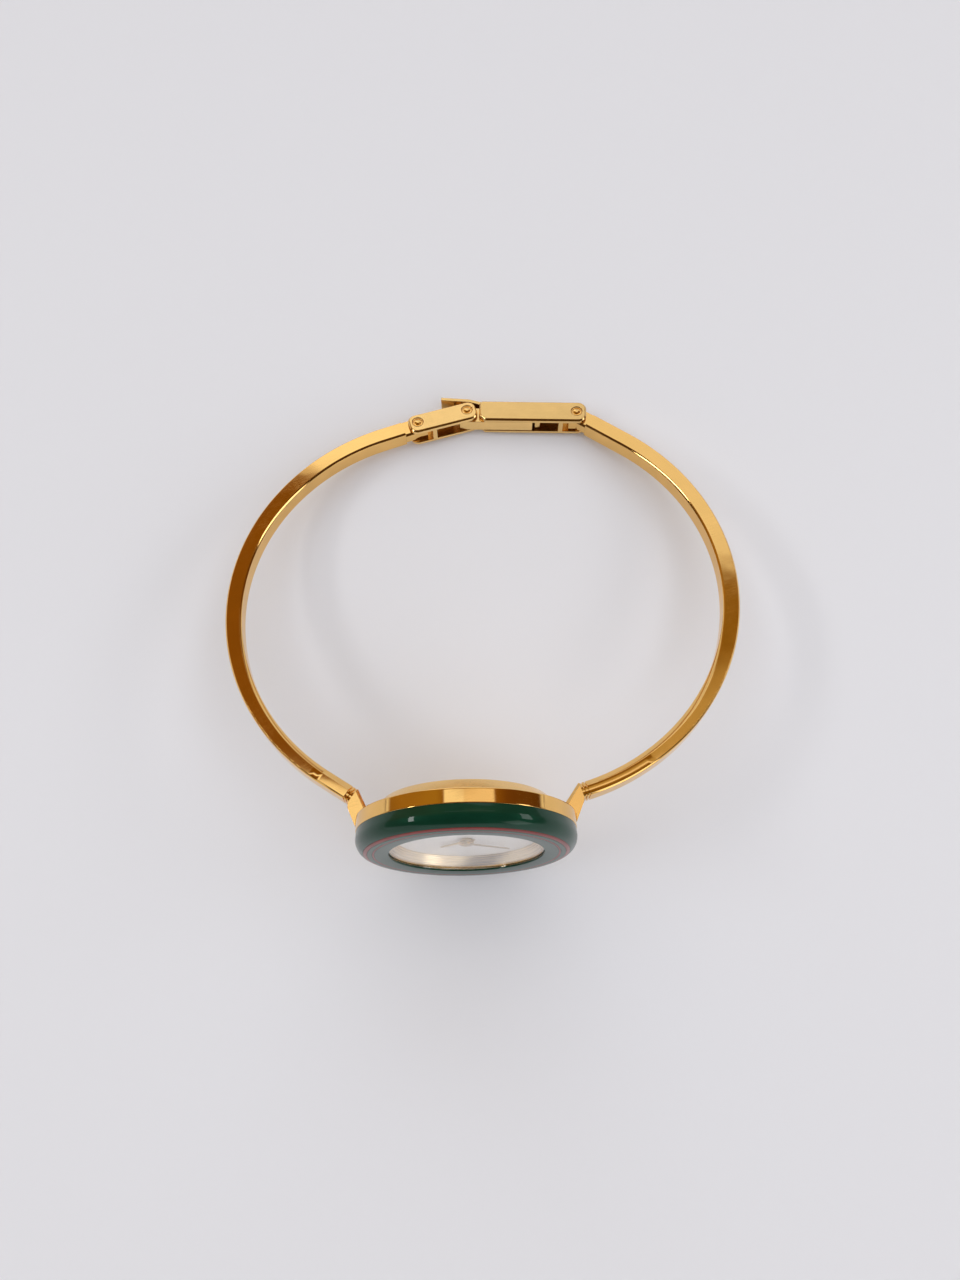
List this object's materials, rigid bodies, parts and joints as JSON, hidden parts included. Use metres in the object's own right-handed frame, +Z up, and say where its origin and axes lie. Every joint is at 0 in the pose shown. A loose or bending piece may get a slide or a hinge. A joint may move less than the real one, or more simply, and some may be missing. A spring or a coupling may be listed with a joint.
{
  "type": "bangle watch",
  "caption": "Stiff bangle wrist watch with a round case, interchangeable enamelled ring and hinged fold-over clasp.",
  "frame": {"origin": "centre of the bounding box in plan, at its lowest point, on the surface that the watch lies on", "axes": "+Z up; the watch lies on its side as it rests, on its crown and its clasp, with the dial end at -Y facing -Y and the clasp at +Y; +X runs across the bangle toward twelve o'clock"},
  "size_m": [0.0648, 0.0652, 0.0264],
  "materials": {
    "polished_gold": "polished gold plate",
    "brushed_gold": "fine brushed gold plate",
    "gold_hands": "polished gold plate",
    "green_enamel": "glossy dark green enamel",
    "red_enamel": "glossy dark red enamel",
    "crystal_glass": "clear mineral crystal",
    "dial_white": "satin off-white lacquer",
    "champagne_gold": "satin champagne gold plate",
    "steel": "brushed steel",
    "movement_brass": "brass",
    "gilt_plate": "gilt brass",
    "white_nylon": "white nylon",
    "black_rubber": "black rubber",
    "copper_wire": "enamelled copper wire",
    "green_board": "green circuit board",
    "magnet_black": "dark sintered magnet"
  },
  "bodies": {
    "case": {"case_middle": "polished_gold", "case_back": "brushed_gold", "case_back_gasket": "black_rubber", "crystal": "crystal_glass", "crystal_gasket": "white_nylon", "dial_flange": "champagne_gold", "dial": "dial_white", "stator": "steel", "coil_core": "steel", "coil_winding": "copper_wire", "main_plate": "gilt_plate", "train_bridge": "gilt_plate", "circuit_board": "green_board", "quartz_can": "steel", "battery": "steel", "battery_strap": "steel", "movement_holder": "white_nylon", "crown_tube": "polished_gold", "lug_right": "polished_gold", "lug_left": "polished_gold", "arm_right": "polished_gold", "arm_left": "polished_gold"},
    "bezel": {"bezel_ring": "green_enamel", "bezel_stripe_wide": "red_enamel", "bezel_stripe_narrow": "red_enamel"},
    "minute_set": {"minute_hand": "gold_hands", "cannon_pinion": "steel", "centre_wheel": "movement_brass"},
    "hour_set": {"hour_hand": "gold_hands", "hour_wheel": "movement_brass"},
    "minute_wheel_body": {"minute_wheel": "movement_brass"},
    "third_wheel_body": {"third_wheel": "movement_brass"},
    "intermediate_wheel_body": {"intermediate_wheel": "movement_brass"},
    "rotor_body": {"rotor": "magnet_black"},
    "crown_slider": {"setting_lever": "steel"},
    "crown_set": {"crown": "polished_gold", "crown_gasket": "black_rubber", "stem": "steel", "clutch_pinion": "steel"},
    "link": {"clasp_link": "brushed_gold", "pin_arm_link": "polished_gold", "pin_link_leaf": "polished_gold"},
    "leaf": {"clasp_leaf": "brushed_gold"},
    "cover": {"clasp_cover": "brushed_gold", "pin_cover": "polished_gold"}
  },
  "joints": [
    {"name": "cover_hinge", "type": "hinge", "parent": "case", "child": "cover", "pos_m": [0.01373, 0.02922, 0.00193], "axis": [0, -0.2065, -0.9784], "range_deg": [0, 140]},
    {"name": "link_hinge", "type": "hinge", "parent": "case", "child": "link", "pos_m": [-0.00833, 0.02807, 0.00217], "axis": [0, -0.2065, -0.9784], "range_deg": [0, 40]},
    {"name": "leaf_hinge", "type": "hinge", "parent": "link", "child": "leaf", "pos_m": [-0.0015, 0.02994, 0.00178], "axis": [0, -0.2065, -0.9784], "range_deg": [0, 60]},
    {"name": "minute_hand_turn", "type": "hinge", "parent": "case", "child": "minute_set", "pos_m": [-0.00263, -0.02791, 0.01399], "axis": [0, 0.9784, -0.2065], "continuous": true},
    {"name": "hour_hand_turn", "type": "hinge", "parent": "case", "child": "hour_set", "pos_m": [-0.00263, -0.02791, 0.01399], "axis": [0, 0.9784, -0.2065], "continuous": true},
    {"name": "minute_wheel_turn", "type": "hinge", "parent": "case", "child": "minute_wheel_body", "pos_m": [-0.00134, -0.02823, 0.01249], "axis": [0, 0.9784, -0.2065], "continuous": true},
    {"name": "third_wheel_turn", "type": "hinge", "parent": "case", "child": "third_wheel_body", "pos_m": [-0.00148, -0.02768, 0.01511], "axis": [0, 0.9784, -0.2065], "continuous": true},
    {"name": "intermediate_wheel_turn", "type": "hinge", "parent": "case", "child": "intermediate_wheel_body", "pos_m": [0.0003, -0.02754, 0.01574], "axis": [0, 0.9784, -0.2065], "continuous": true},
    {"name": "rotor_turn", "type": "hinge", "parent": "case", "child": "rotor_body", "pos_m": [0.00136, -0.02758, 0.01556], "axis": [0, 0.9784, -0.2065], "continuous": true},
    {"name": "crown_pull", "type": "slide", "parent": "case", "child": "crown_slider", "axis": [0, -0.2065, -0.9784], "range_m": [0, 0.0008]},
    {"name": "crown_turn", "type": "hinge", "parent": "crown_slider", "child": "crown_set", "pos_m": [-0.00263, -0.0297, 0.00151], "axis": [0, -0.2065, -0.9784], "continuous": true},
    {"name": "bezel_lift", "type": "slide", "parent": "case", "child": "bezel", "axis": [0, -0.9784, 0.2065], "range_m": [0, 0.006]}
  ],
  "couplings": [
    {"joint": "hour_hand_turn", "follows": "minute_hand_turn", "ratio": 0.083333},
    {"joint": "minute_wheel_turn", "follows": "minute_hand_turn", "ratio": -0.33333},
    {"joint": "third_wheel_turn", "follows": "minute_hand_turn", "ratio": -5},
    {"joint": "intermediate_wheel_turn", "follows": "minute_hand_turn", "ratio": 30},
    {"joint": "rotor_turn", "follows": "minute_hand_turn", "ratio": -90}
  ]
}
